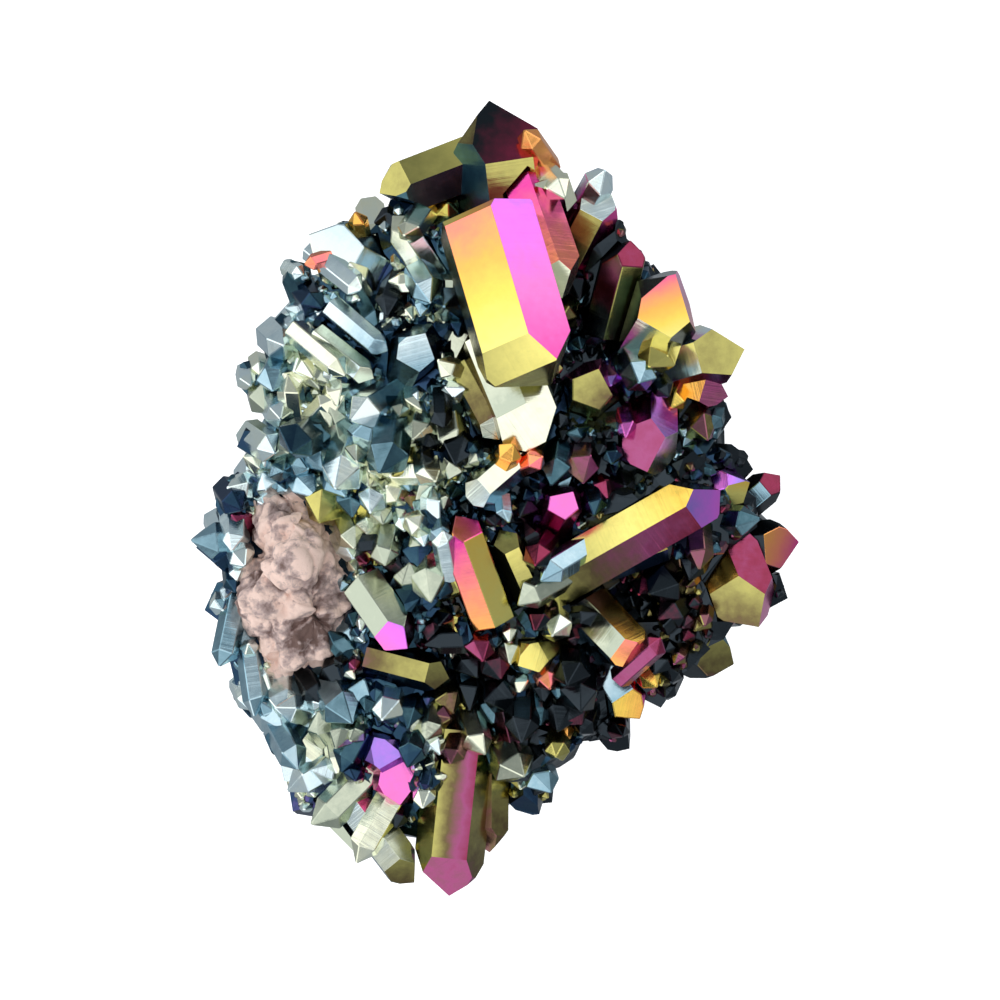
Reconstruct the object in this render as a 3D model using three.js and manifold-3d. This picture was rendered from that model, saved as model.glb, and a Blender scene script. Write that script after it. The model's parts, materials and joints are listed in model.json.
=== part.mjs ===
// Quartz cluster: a bed of small intergrown crystals with larger points standing out of it, on a
// lump of its host rock. It lies on a flat underside, with its crystals pointing up and outward.
// Millimetres, +Z up. The origin ends at the middle of the box's underside.
import * as THREE from "three";
import { mergeVertices } from "three/addons/utils/BufferGeometryUtils.js";
import Module from "manifold-3d";

const wasm = await Module();
wasm.setup();

// Driving dimensions.
const GAP = 0.3; // between a seated piece and its socket
const SOCKET_FLOOR = 1.2; // no crystal root reaches lower than this
const BED_CENTRE = new THREE.Vector2(-1, 0);
const BED_PEAK = 10.5;
const BED_RIM = 4.6;
const BED_UNDERCUT = 0.86; // size of the flat underside against the outline
const BED_SEGMENTS = 36;
const BED_RINGS = [0.95, 0.84, 0.7, 0.54, 0.36, 0.18, 0]; // of its top, in shares of the way out
const BED_BUMPS = 0.9; // height of the bumps on its top
const BROKEN_SIDE = 0.08; // how far its sides are broken back, in shares of the way out
const DRUSE_COUNT = 54;
const SIDE_COUNT = 12;
const DRUSE_SPACING = 2.9;
const DRUSE_LEFT_WIDTH = 1.2; // of the narrowest small crystals, finer on the left
const DRUSE_RIGHT_WIDTH = 1.6;
const DRUSE_STANDING = 1.4; // how far the small crystals stand out of the bed
const DRUSE_SPREAD = 110; // degrees that their headings spread over, and their rises
const DRUSE_RISE_SPREAD = 28;
const DRUSE_ROOT = 1.2; // depth of their roots in shares of their width
const DRUSE_UNEVEN = 0.5; // how far their sloping faces differ
const MIDDLE_RISE = 76; // degrees that they rise at in the middle of the bed and at its rim
const RIM_RISE = 18;
const SIDE_SPREAD = 50; // degrees that the headings of the crystals on its sides spread over
const SIDE_RISE = [4, 26];
const SIDE_HEIGHT = [2.2, 3.8];

// Quartz: the angle between a prism face and the sloping face above it.
const TERMINATION_ANGLE = THREE.MathUtils.degToRad(38.2);
const PRISM_FACES = 6;
const FACE_TURN = 360 / PRISM_FACES; // degrees from one prism face to the next
// Shares of a crystal's width: how much further out the three small sloping faces start, how much
// the starts of all six vary, and how far before its back end the back faces would meet.
const SMALL_FACE_SETBACK = 0.3;
const FACE_VARIATION = 0.8;
const BACK_BEVEL = 0.62;
const ROOT_TAPER = 1.03; // radius at the root against the radius at the tip

// Outline of the bed seen from above, anticlockwise from the right.
const BED_OUTLINE = [
  [17.4, -2.2], [16.8, 0.8], [12.8, 3.8], [14.2, 7.6], [11.8, 13], [8.2, 17.8], [4.6, 20.4],
  [-0.5, 21.8], [-6.4, 19.8], [-10.6, 17], [-12.9, 13.2], [-14.4, 9], [-15.5, 4.8], [-17, 0.6],
  [-18.3, -3.4], [-17.6, -8], [-15.6, -13.4], [-12.6, -18.4], [-8.6, -21.6], [-3.6, -23],
  [-0.4, -21], [3.4, -17.6], [8.6, -13.4], [14, -10.4], [17, -6.2],
];

// Low places in the top of the bed: x, y, radius and depth.
const HOLLOWS = [
  [3.4, -0.6, 2.6, 3.2], [-2, -12, 3.6, 3], [6.2, -7.4, 3, 3], [10.6, -5.6, 2.8, 2.6],
  [6.2, 11, 3, 3], [-6.6, 7.4, 1.6, 1.6], [-5.4, -3.6, 1.8, 1.6], [-12.7, -2.4, 4.6, 3],
  [-12.9, -8.4, 4.6, 3],
];

// The lump of host rock: middle, half sizes and how far it stands above its middle.
const ROCK = { centre: [-12.9, -5.2], half: [4.6, 7.6], top: 8.6, detail: 4, roughness: 0.14 };

// The larger crystals, by the piece they belong to. Each has its tip, the compass heading and the
// rise in degrees that its tip points along, its width across flats, its length and its roll: at
// roll 0 a face looks up, at roll 30 an edge. `blunt` is cut off the tip, and a crystal with a
// `back` lies across the bed and has sloping faces at both ends.
const CRYSTALS = {
  main_crystals: [
    {
      tip: [2.5, 5.5, 15.8], heading: -74, rise: 16, width: 5.5, length: 12.8, roll: 22, blunt: 2,
      back: true,
    },
    { tip: [2.4, 2.9, 12.6], heading: -68, rise: 14, width: 3.7, length: 8, roll: 20, blunt: 0.4 },
    { tip: [0, 3.7, 11.6], heading: -62, rise: 14, width: 1.8, length: 5.4, roll: 10 },
    { tip: [4, 12.5, 12.8], heading: -72, rise: 26, width: 3, length: 8.4, roll: 20 },
  ],
  crown_crystals: [
    { tip: [-0.3, 25.1, 9.8], heading: 97, rise: 18, width: 5.2, length: 9.6, roll: 8 },
    { tip: [4.1, 20.6, 10.8], heading: 50, rise: 24, width: 3.4, length: 6.4, roll: 30 },
    { tip: [-7.6, 19.1, 8.6], heading: 202, rise: 9, width: 3.3, length: 8.4, roll: 26 },
  ],
  white_crystal: [
    { tip: [6.8, 19.9, 9.4], heading: 62, rise: 24, width: 2.7, length: 5.6, roll: 0 },
  ],
  brown_crystal: [
    { tip: [8.1, 16.5, 9.9], heading: 76, rise: 24, width: 2.6, length: 6.6, roll: 30 },
  ],
  kite_crystals: [
    { tip: [11.4, 13.8, 11.6], heading: 60, rise: 46, width: 4.1, length: 8, roll: 0, uneven: 0.5 },
    { tip: [15.4, 9.8, 9], heading: 16, rise: 30, width: 3.4, length: 6, roll: 0 },
    { tip: [14.6, 6.8, 7.2], heading: -20, rise: 12, width: 2.7, length: 5.2, roll: 20 },
  ],
  olive_crystal: [
    { tip: [6.2, 8.2, 11.2], heading: 70, rise: 56, width: 3.2, length: 5.2, roll: 0 },
  ],
  red_violet_crystal: [
    { tip: [9.3, 1.9, 11.4], heading: -92, rise: 46, width: 3.4, length: 6, roll: 30 },
  ],
  long_crystals: [
    { tip: [13.6, 0.8, 11], heading: 30, rise: 14, width: 3.3, length: 12.4, roll: 30 },
    { tip: [5.6, -4.5, 9.2], heading: 200, rise: 8, width: 1.9, length: 5, roll: 10 },
  ],
  right_gold_crystal: [
    { tip: [15.9, 1.1, 7.4], heading: 14, rise: 20, width: 2.4, length: 4.6, roll: 30 },
  ],
  far_right_upper_crystal: [
    { tip: [18.2, 1.7, 5], heading: 40, rise: 14, width: 2, length: 4.6, roll: 0 },
  ],
  far_right_lower_crystal: [
    { tip: [19.3, -3, 5], heading: 4, rise: 12, width: 3.2, length: 5, roll: 0 },
  ],
  right_low_crystal: [
    { tip: [16.3, -8.2, 7.6], heading: -70, rise: 26, width: 4, length: 7.2, roll: 30 },
  ],
  slate_crystal: [
    { tip: [15, -10.6, 4.6], heading: -24, rise: 6, width: 3.4, length: 6, roll: 0 },
  ],
  lower_gold_crystal: [
    { tip: [9.2, -10.5, 9.6], heading: -46, rise: 28, width: 2.8, length: 6, roll: 22 },
  ],
  lower_orange_crystal: [
    { tip: [8.8, -14, 6.4], heading: -56, rise: 12, width: 2.8, length: 5.8, roll: 0 },
  ],
  hot_pink_crystal: [
    { tip: [4.4, 0.6, 11.4], heading: 60, rise: 52, width: 2.2, length: 5.2, roll: 0 },
  ],
  cream_crystal: [
    { tip: [-2.3, -0.3, 11.8], heading: 221, rise: 12, width: 2.1, length: 4.9, roll: 0, blunt: 0.4 },
  ],
  coral_crystal: [
    { tip: [-2.9, -0.9, 11.6], heading: 110, rise: 14, width: 2.6, length: 7.4, roll: 30 },
  ],
  slim_olive_crystal: [
    { tip: [0, -1.9, 11], heading: 114, rise: 14, width: 1.7, length: 5, roll: 10 },
  ],
  sage_crystal: [
    { tip: [-5.7, -9.3, 11], heading: -54, rise: 24, width: 2.6, length: 5.4, roll: 30 },
  ],
  ridge_crystal: [
    { tip: [-3.2, -11.2, 9.4], heading: -14, rise: 10, width: 2.1, length: 5.4, roll: 0 },
  ],
  yellow_crystal: [
    { tip: [1.2, -10.4, 10.2], heading: 210, rise: 52, width: 2.3, length: 5, roll: 0 },
  ],
  violet_pink_crystals: [
    { tip: [-7.9, -14.9, 9.8], heading: 120, rise: 50, width: 2.6, length: 4.8, roll: 0 },
    { tip: [-6.3, -18.9, 9.8], heading: -80, rise: 52, width: 2.7, length: 4.8, roll: 0 },
  ],
  bottom_crystals: [
    { tip: [-3.5, -25.2, 8.2], heading: -96, rise: 8, width: 3.8, length: 10.5, roll: 0 },
    { tip: [-0.8, -22.4, 6.8], heading: -90, rise: 8, width: 2.4, length: 6.4, roll: 20 },
  ],
  lower_left_cream_crystal: [
    { tip: [-5.4, -24.3, 7.6], heading: -52, rise: 8, width: 2.4, length: 7, roll: 20 },
  ],
  lower_left_sage_crystal: [
    { tip: [-9.6, -22.6, 6.4], heading: -100, rise: 12, width: 3.6, length: 5.8, roll: 10 },
  ],
  lower_left_white_crystal: [
    { tip: [-13.9, -18.3, 6.4], heading: -128, rise: 18, width: 2.8, length: 5, roll: 0 },
  ],
  upper_left_crystal: [
    { tip: [-12, 16.6, 9], heading: 152, rise: 30, width: 3.6, length: 6.4, roll: 0 },
  ],
  slim_blue_crystal: [
    { tip: [-6.9, 18, 9.4], heading: 124, rise: 14, width: 1.9, length: 5, roll: 24 },
  ],
  diagonal_blue_crystal: [
    { tip: [-7.1, 9.2, 10.4], heading: -40, rise: 14, width: 1.4, length: 4.8, roll: 20 },
  ],
  diagonal_cream_crystal: [
    { tip: [-8, 7.5, 10], heading: -38, rise: 14, width: 1.5, length: 4.8, roll: 20 },
  ],
  steel_crystal: [
    { tip: [-4.7, 10.2, 12], heading: 60, rise: 62, width: 2.8, length: 5.2, roll: 0 },
  ],
};

// Crystals at the rim of the bed that are one with it.
const RIM_CRYSTALS = [
  { tip: [-19.3, -3.2, 4.6], heading: 180, rise: 6, width: 3.2, length: 4, roll: 30 },
  { tip: [-18.1, 0.2, 5], heading: 150, rise: 14, width: 2.2, length: 4, roll: 0 },
  { tip: [-18.6, -7, 4.6], heading: 188, rise: 10, width: 2.6, length: 3.6, roll: 20 },
  { tip: [-17, -11.8, 5], heading: -130, rise: 12, width: 2.4, length: 5, roll: 0 },
  { tip: [18.4, -6.2, 4.6], heading: -22, rise: 10, width: 2.6, length: 4, roll: 0 },
  { tip: [3.2, -19.4, 4.2], heading: -52, rise: 8, width: 2.4, length: 4, roll: 20 },
];

// Colour of each piece under its metal film, as [colour, roughness].
const GOLD = [0xd9a633, 0.2];
const MAGENTA = [0xb42c7c, 0.2];
const VIOLET = [0x6f4aa8, 0.2];
const STEEL = [0x5b7f96, 0.25];
const CREAM = [0xd8d8c0, 0.25];
const NAVY = [0x27344a, 0.25];
const BARE_ROCK = [0xa8816f, 0.85];
const PIECE_COLOURS = {
  main_crystals: GOLD, crown_crystals: MAGENTA, white_crystal: CREAM, brown_crystal: GOLD,
  kite_crystals: GOLD, olive_crystal: GOLD, red_violet_crystal: MAGENTA, long_crystals: GOLD,
  right_gold_crystal: GOLD, far_right_upper_crystal: MAGENTA, far_right_lower_crystal: VIOLET,
  right_low_crystal: GOLD, slate_crystal: STEEL, lower_gold_crystal: GOLD,
  lower_orange_crystal: GOLD, hot_pink_crystal: MAGENTA, cream_crystal: CREAM,
  coral_crystal: GOLD, slim_olive_crystal: GOLD, sage_crystal: STEEL, ridge_crystal: STEEL,
  yellow_crystal: GOLD, violet_pink_crystals: VIOLET, bottom_crystals: MAGENTA,
  lower_left_cream_crystal: CREAM, lower_left_sage_crystal: STEEL,
  lower_left_white_crystal: CREAM, upper_left_crystal: CREAM, slim_blue_crystal: STEEL,
  diagonal_blue_crystal: STEEL, diagonal_cream_crystal: CREAM, steel_crystal: STEEL,
};

// A repeatable stream of numbers from 0 to 1.
function seeded(seed) {
  let state = seed >>> 0;
  return () => {
    state = (state + 0x6d2b79f5) >>> 0;
    let mixed = Math.imul(state ^ (state >>> 15), 1 | state);
    mixed = (mixed + Math.imul(mixed ^ (mixed >>> 7), 61 | mixed)) ^ mixed;
    return ((mixed ^ (mixed >>> 14)) >>> 0) / 4294967296;
  };
}

// A seed that belongs to a place, so that a crystal and its socket get the same faces.
function placeSeed([x, y, z]) {
  return Math.round(Math.abs(x * 7310 + y * 5170 + z * 890));
}

function toSolid(geometry) {
  const bare = geometry.clone();
  bare.deleteAttribute("normal");
  bare.deleteAttribute("uv");
  const merged = mergeVertices(bare, 1e-5);
  return new wasm.Manifold(new wasm.Mesh({
    numProp: 3,
    vertProperties: new Float32Array(merged.attributes.position.array),
    triVerts: new Uint32Array(merged.index.array),
  }));
}

function toGeometry(solid) {
  const { vertProperties, triVerts } = solid.getMesh();
  const geometry = new THREE.BufferGeometry();
  geometry.setAttribute("position", new THREE.BufferAttribute(vertProperties, 3));
  geometry.setIndex(new THREE.BufferAttribute(triVerts, 1));
  geometry.computeVertexNormals();
  return geometry;
}

// Keeps what lies on the near side of the plane with this outward normal and distance.
function keepBelow(solid, normal, distance) {
  return solid.trimByPlane([-normal.x, -normal.y, -normal.z], -distance);
}

function largestPiece(solid) {
  return solid.decompose().reduce((best, next) => (next.volume() > best.volume() ? next : best));
}

// Cuts one end of a crystal along +Z into three large and three small sloping faces.
function terminate(solid, { length, width, uneven }, grow, random, end) {
  let result = solid;
  for (let face = 0; face < PRISM_FACES; face += 1) {
    const around = (face * 2 * Math.PI) / PRISM_FACES;
    const normal = new THREE.Vector3(
      Math.cos(around) * Math.cos(TERMINATION_ANGLE),
      Math.sin(around) * Math.cos(TERMINATION_ANGLE),
      end * Math.sin(TERMINATION_ANGLE),
    );
    const setBack = face % 2 === 1 ? 0 : width * SMALL_FACE_SETBACK;
    const height = length + setBack + (random() - 0.5) * uneven * width * FACE_VARIATION;
    result = keepBelow(result, normal, height * Math.sin(TERMINATION_ANGLE) + grow);
  }
  return result;
}

function tipDirection({ heading, rise }) {
  const turn = THREE.MathUtils.degToRad(heading);
  const climb = THREE.MathUtils.degToRad(rise);
  return new THREE.Vector3(
    Math.cos(climb) * Math.cos(turn),
    Math.cos(climb) * Math.sin(turn),
    Math.sin(climb),
  );
}

// One crystal with its tip and direction; `grow` moves every face out, for a socket.
function crystalSolid(spec, grow = 0) {
  const { tip, heading, rise, width, length, roll, blunt = 0, back = false, uneven = 0.3 } = spec;
  const random = seeded(placeSeed(tip));
  const tipRadius = (width / 2 + grow) / Math.cos(Math.PI / PRISM_FACES);
  const reach = length + width;
  const rootRadius = tipRadius * ROOT_TAPER;
  const prism = new THREE.CylinderGeometry(tipRadius, rootRadius, reach + grow, PRISM_FACES);
  prism.rotateX(Math.PI / 2);
  prism.translate(0, 0, (reach - grow) / 2);
  let solid = terminate(toSolid(prism), { length, width, uneven }, grow, random, 1);
  if (blunt > 0) {
    solid = keepBelow(solid, new THREE.Vector3(0, 0, 1), length - blunt + grow);
  }
  if (back) {
    solid = terminate(solid, { length: width * BACK_BEVEL, width, uneven }, grow, random, -1);
  }
  const placed = new THREE.Matrix4()
    .makeTranslation(...tip)
    .multiply(new THREE.Matrix4().makeRotationZ(THREE.MathUtils.degToRad(heading)))
    .multiply(new THREE.Matrix4().makeRotationY(THREE.MathUtils.degToRad(90 - rise)))
    .multiply(new THREE.Matrix4().makeRotationZ(THREE.MathUtils.degToRad(roll)))
    .multiply(new THREE.Matrix4().makeTranslation(0, 0, -length));
  return solid.transform(placed.elements);
}

// The crystals of one piece, joined, and cut off above the floor of their socket.
function joinedCrystals(specs, grow = 0) {
  const joined = wasm.Manifold.union(specs.map((spec) => crystalSolid(spec, grow)));
  return joined.trimByPlane([0, 0, 1], SOCKET_FLOOR - grow);
}

// Radius of the bed's outline in a direction.
function outlineRadius(angle) {
  const direction = new THREE.Vector2(Math.cos(angle), Math.sin(angle));
  let radius = 0;
  BED_OUTLINE.forEach(([x, y], index) => {
    const [nextX, nextY] = BED_OUTLINE[(index + 1) % BED_OUTLINE.length];
    const from = new THREE.Vector2(x, y).sub(BED_CENTRE);
    const along = new THREE.Vector2(nextX - x, nextY - y);
    const turn = direction.cross(along);
    if (Math.abs(turn) < 1e-9) return;
    const distance = from.cross(along) / turn;
    const share = from.cross(direction) / turn;
    if (distance > 0 && share >= 0 && share <= 1) radius = Math.max(radius, distance);
  });
  return radius;
}

// Share of the way from the bed's middle to its outline.
function outwardShare(x, y) {
  const offset = new THREE.Vector2(x, y).sub(BED_CENTRE);
  return offset.length() / outlineRadius(offset.angle());
}

// Height of the top of the bed.
function bedTop(x, y) {
  const share = Math.min(outwardShare(x, y), 1);
  let height = BED_RIM + (BED_PEAK - BED_RIM) * Math.sqrt(1 - share * share);
  HOLLOWS.forEach(([hollowX, hollowY, radius, depth]) => {
    const away = Math.hypot(x - hollowX, y - hollowY) / radius;
    height -= depth * Math.exp(-away * away);
  });
  return height;
}

// The massive part of the bed: a lathe section stretched to the outline, with broken sides.
function bedCore() {
  const underside = [[0, 0], [0.5, 0]];
  const side = [[BED_UNDERCUT, 0], [0.95, 1.4], [1, 3.2]];
  const top = BED_RINGS.map((share) => [share, 0]);
  const section = [...underside, ...side, ...top];
  const profile = section.map(([share, height]) => new THREE.Vector2(share, height));
  const geometry = new THREE.LatheGeometry(profile, BED_SEGMENTS);
  geometry.rotateX(Math.PI / 2);
  const random = seeded(11);
  const position = geometry.attributes.position;
  const rows = section.length;
  const firstTopRow = rows - top.length;
  const point = new THREE.Vector3();
  const jitter = Array.from({ length: BED_SEGMENTS * rows }, () => [random() - 0.5, random() - 0.5]);
  for (let index = 0; index < position.count; index += 1) {
    point.fromBufferAttribute(position, index);
    const share = Math.hypot(point.x, point.y);
    const row = index % rows;
    const segment = Math.floor(index / rows) % BED_SEGMENTS;
    const [sideways, upward] = jitter[segment * rows + row];
    const angle = Math.atan2(point.y, point.x);
    const onTop = row >= firstTopRow;
    const onSide = row >= underside.length && !onTop;
    const radius = share * outlineRadius(angle) * (onSide ? 1 - BROKEN_SIDE * (0.5 - sideways) : 1);
    const x = BED_CENTRE.x + radius * Math.cos(angle);
    const y = BED_CENTRE.y + radius * Math.sin(angle);
    const bump = row === rows - 1 ? 0 : upward * BED_BUMPS;
    const z = onTop ? bedTop(x, y) + bump : section[row][1];
    position.setXYZ(index, x, y, z);
  }
  return toSolid(geometry);
}

const STANDING_SHARE = 0.8; // the most of a crystal's length that stands clear of the bed

// Distance in plan from a point to the part of a crystal's axis that can stand clear of the bed.
function planDistance(x, y, { tip, heading, rise, length }) {
  const turn = THREE.MathUtils.degToRad(heading);
  const reach = length * STANDING_SHARE * Math.cos(THREE.MathUtils.degToRad(rise));
  const behind = (tip[0] - x) * Math.cos(turn) + (tip[1] - y) * Math.sin(turn);
  const along = THREE.MathUtils.clamp(behind, 0, reach);
  return Math.hypot(tip[0] - along * Math.cos(turn) - x, tip[1] - along * Math.sin(turn) - y);
}

function nearRock(x, y, margin) {
  const across = (x - ROCK.centre[0]) / (ROCK.half[0] + margin);
  const along = (y - ROCK.centre[1]) / (ROCK.half[1] + margin);
  return Math.hypot(across, along) < 1;
}

// The druse on top of the bed: small crystals leaning outward, none under a larger crystal.
function druseSpecs(large) {
  const random = seeded(5);
  const specs = [];
  const taken = [];
  for (let attempt = 0; attempt < DRUSE_COUNT * 100 && specs.length < DRUSE_COUNT; attempt += 1) {
    const angle = random() * 2 * Math.PI;
    const share = Math.sqrt(random());
    const x = BED_CENTRE.x + share * outlineRadius(angle) * Math.cos(angle);
    const y = BED_CENTRE.y + share * outlineRadius(angle) * Math.sin(angle);
    const width = (x < 0 ? DRUSE_LEFT_WIDTH : DRUSE_RIGHT_WIDTH) + random();
    const [leanTurn, leanRise, stand, roll] = [random() - 0.5, random() - 0.5, random(), random()];
    const crowded = taken.some(([otherX, otherY]) => Math.hypot(x - otherX, y - otherY) < DRUSE_SPACING);
    const covered = large.some((spec) => planDistance(x, y, spec) < spec.width / 2);
    if (crowded || covered || nearRock(x, y, 0.2)) continue;
    taken.push([x, y]);
    const heading = THREE.MathUtils.radToDeg(angle) + leanTurn * DRUSE_SPREAD;
    const rise = THREE.MathUtils.lerp(MIDDLE_RISE, RIM_RISE, share ** 3) + leanRise * DRUSE_RISE_SPREAD;
    const standing = DRUSE_STANDING * (0.6 + stand);
    specs.push(seatedSpec(x, y, bedTop(x, y), { heading, rise, standing, width, roll: roll * FACE_TURN }));
  }
  return specs;
}

// Small crystals on the sides of the bed, pointing outward.
function sideSpecs() {
  const random = seeded(8);
  return Array.from({ length: SIDE_COUNT }, (_, index) => {
    const angle = ((index + (random() - 0.5) * 0.7) * 2 * Math.PI) / SIDE_COUNT;
    const radius = outlineRadius(angle) * BED_RINGS[0];
    const heading = THREE.MathUtils.radToDeg(angle) + (random() - 0.5) * SIDE_SPREAD;
    const rise = THREE.MathUtils.lerp(...SIDE_RISE, random());
    const standing = DRUSE_STANDING * (0.5 + random() * 0.5);
    const width = DRUSE_RIGHT_WIDTH + random();
    const [x, y] = [Math.cos(angle), Math.sin(angle)].map((share) => share * radius);
    const size = { heading, rise, standing, width, roll: random() * FACE_TURN };
    const height = THREE.MathUtils.lerp(...SIDE_HEIGHT, random());
    return seatedSpec(BED_CENTRE.x + x, BED_CENTRE.y + y, height, size);
  });
}

// A crystal that stands out of the bed at a place, with its root sunk in it.
function seatedSpec(x, y, z, { heading, rise, standing, width, roll }) {
  const tip = new THREE.Vector3(x, y, z).addScaledVector(tipDirection({ heading, rise }), standing);
  const length = standing + width * DRUSE_ROOT;
  return { tip: tip.toArray(), heading, rise, width, length, roll, uneven: DRUSE_UNEVEN };
}

// The lump of host rock, with its foot cut flat.
function rockSolid(grow = 0) {
  const geometry = new THREE.IcosahedronGeometry(1, ROCK.detail);
  const position = geometry.attributes.position;
  const point = new THREE.Vector3();
  for (let index = 0; index < position.count; index += 1) {
    point.fromBufferAttribute(position, index).normalize();
    const lumps = Math.sin(point.x * 5.1 + 1) * Math.sin(point.y * 7.3) * Math.sin(point.z * 6.1 + 2)
      + 0.5 * Math.sin(point.x * 13 + point.y * 11) * Math.sin(point.z * 12 + point.y * 9);
    const scale = 1 + ROCK.roughness * lumps;
    position.setXYZ(
      index,
      point.x * (ROCK.half[0] * scale + grow),
      point.y * (ROCK.half[1] * scale + grow),
      point.z * (ROCK.top * scale + grow),
    );
  }
  geometry.translate(ROCK.centre[0], ROCK.centre[1], 0);
  return toSolid(geometry).trimByPlane([0, 0, 1], 0);
}

// The bed with its druse, and a socket for each piece seated in it.
function crystalBed() {
  const large = Object.values(CRYSTALS).flat();
  const small = [...RIM_CRYSTALS, ...druseSpecs(large), ...sideSpecs()];
  const grown = wasm.Manifold.union([bedCore(), ...small.map((spec) => crystalSolid(spec))]);
  const sockets = Object.values(CRYSTALS).map((specs) => joinedCrystals(specs, GAP));
  const seats = wasm.Manifold.union([...sockets, rockSolid(GAP)]);
  return largestPiece(grown.trimByPlane([0, 0, 1], 0).subtract(seats));
}

function piece(name, solid, [colour, roughness], metalness = 0.9) {
  const material = new THREE.MeshStandardMaterial({ color: colour, roughness, metalness });
  const mesh = new THREE.Mesh(toGeometry(solid), material);
  mesh.name = name;
  return mesh;
}

const cluster = new THREE.Group();
cluster.add(piece("crystal_bed", crystalBed(), NAVY));
cluster.add(piece("host_rock", rockSolid(), BARE_ROCK, 0));

// A piece that meets one grown before it stops a gap short of it.
let grownBefore = rockSolid(GAP);
Object.entries(CRYSTALS).forEach(([name, specs]) => {
  const solid = largestPiece(joinedCrystals(specs).subtract(grownBefore));
  cluster.add(piece(name, solid, PIECE_COLOURS[name]));
  grownBefore = grownBefore.add(joinedCrystals(specs, GAP));
});

const box = new THREE.Box3().setFromObject(cluster, true);
cluster.position.set(-(box.min.x + box.max.x) / 2, -(box.min.y + box.max.y) / 2, -box.min.z);

export default cluster;
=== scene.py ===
"""Quartz cluster: coated crystals, the fine druse between them, and the bare host rock."""
import json
import math
import random
from bisect import bisect_left
from collections import namedtuple
from itertools import product

import bmesh
import bpy
from mathutils import Matrix, Vector, noise
from mathutils.bvhtree import BVHTree


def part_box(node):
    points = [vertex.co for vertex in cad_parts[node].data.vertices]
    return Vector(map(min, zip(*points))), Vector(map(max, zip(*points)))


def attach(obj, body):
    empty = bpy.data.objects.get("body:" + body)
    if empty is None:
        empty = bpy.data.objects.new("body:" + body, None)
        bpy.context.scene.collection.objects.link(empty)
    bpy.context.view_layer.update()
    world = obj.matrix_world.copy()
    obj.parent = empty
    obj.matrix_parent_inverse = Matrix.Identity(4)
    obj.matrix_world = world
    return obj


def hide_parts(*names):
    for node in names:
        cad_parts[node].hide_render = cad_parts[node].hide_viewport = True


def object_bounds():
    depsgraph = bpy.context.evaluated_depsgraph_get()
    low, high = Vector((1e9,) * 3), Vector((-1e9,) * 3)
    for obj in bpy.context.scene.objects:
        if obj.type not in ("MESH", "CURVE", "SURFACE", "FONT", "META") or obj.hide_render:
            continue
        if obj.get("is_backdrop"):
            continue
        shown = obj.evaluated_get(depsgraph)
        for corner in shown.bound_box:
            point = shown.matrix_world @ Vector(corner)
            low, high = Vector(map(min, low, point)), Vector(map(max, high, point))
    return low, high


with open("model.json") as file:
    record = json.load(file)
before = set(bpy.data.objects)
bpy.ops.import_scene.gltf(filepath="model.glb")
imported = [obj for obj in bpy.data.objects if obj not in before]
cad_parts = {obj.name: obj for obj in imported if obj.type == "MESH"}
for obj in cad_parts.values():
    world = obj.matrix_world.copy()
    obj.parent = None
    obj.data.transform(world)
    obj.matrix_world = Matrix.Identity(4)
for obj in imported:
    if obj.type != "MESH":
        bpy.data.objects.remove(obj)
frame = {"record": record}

bl_info = {
    "name": "Quartz Cluster",
    "version": (1, 0, 0),
    "blender": (4, 5, 0),
    "location": "View3D > Sidebar > Cluster",
    "description": "Dresses the packed quartz cluster with its metal film, druse and rock",
    "category": "Object",
}

MM = 0.001
LOW, HIGH = (Vector(corner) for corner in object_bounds())
SIZE = HIGH - LOW
MIDDLE = (LOW + HIGH) / 2
UP = Vector((0, 0, 1))
BODY = "root"
BED = "crystal_bed"
ROCK = "host_rock"
SLOTS = {part["node"]: part["material_slot"] for part in frame["record"]["subparts"]}
POINTS = sorted(node for node in SLOTS if node not in (BED, ROCK))

# How often each pattern in the surfaces repeats in a metre.
CLOUDS = 210.0
WAVES = 420.0
FINE_GRAIN = 1500.0
GROWTH_LINES = 2600.0
STAINS = 430.0
GRAINS = 1900.0
PITS = 2600.0
# How deep the film's growth lines and the rock's grains are at most.
LINE_DEPTH = 0.12 * MM
GRAIN_DEPTH = 0.25 * MM

# Faces that turn by less than this belong to one facet; edges that turn by more are softened.
FLAT_TURN = math.radians(1.5)
SHARP_TURN = math.radians(8)
# How much the film's thickness differs at random between the facets of a piece.
FACET_SPREAD = 0.01

# The druse's films wander through their zone's list: how often in a metre, how far as a share of
# the list, how much further each crystal does at random, and how much its thickness differs.
DRIFTS = 240
DRIFT_SHARE = 0.75
OWN_SHARE = 0.2
THICKNESS_SPREAD = 0.015

# How the small crystals lean, in degrees: how much their bearing sweeps over the bed's width,
# how much it differs from patch to patch, and how steeply they rise. LEAN_PATCHES is how often
# the patches repeat in a metre, LEAN_LEVEL how soon a sloping bed counts as level.
LEAN_SWEEP = 90
LEAN_SCATTER = 55
LEAN_RISE = 46
LEAN_PATCHES = 150
LEAN_LEVEL = 1.5

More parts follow.
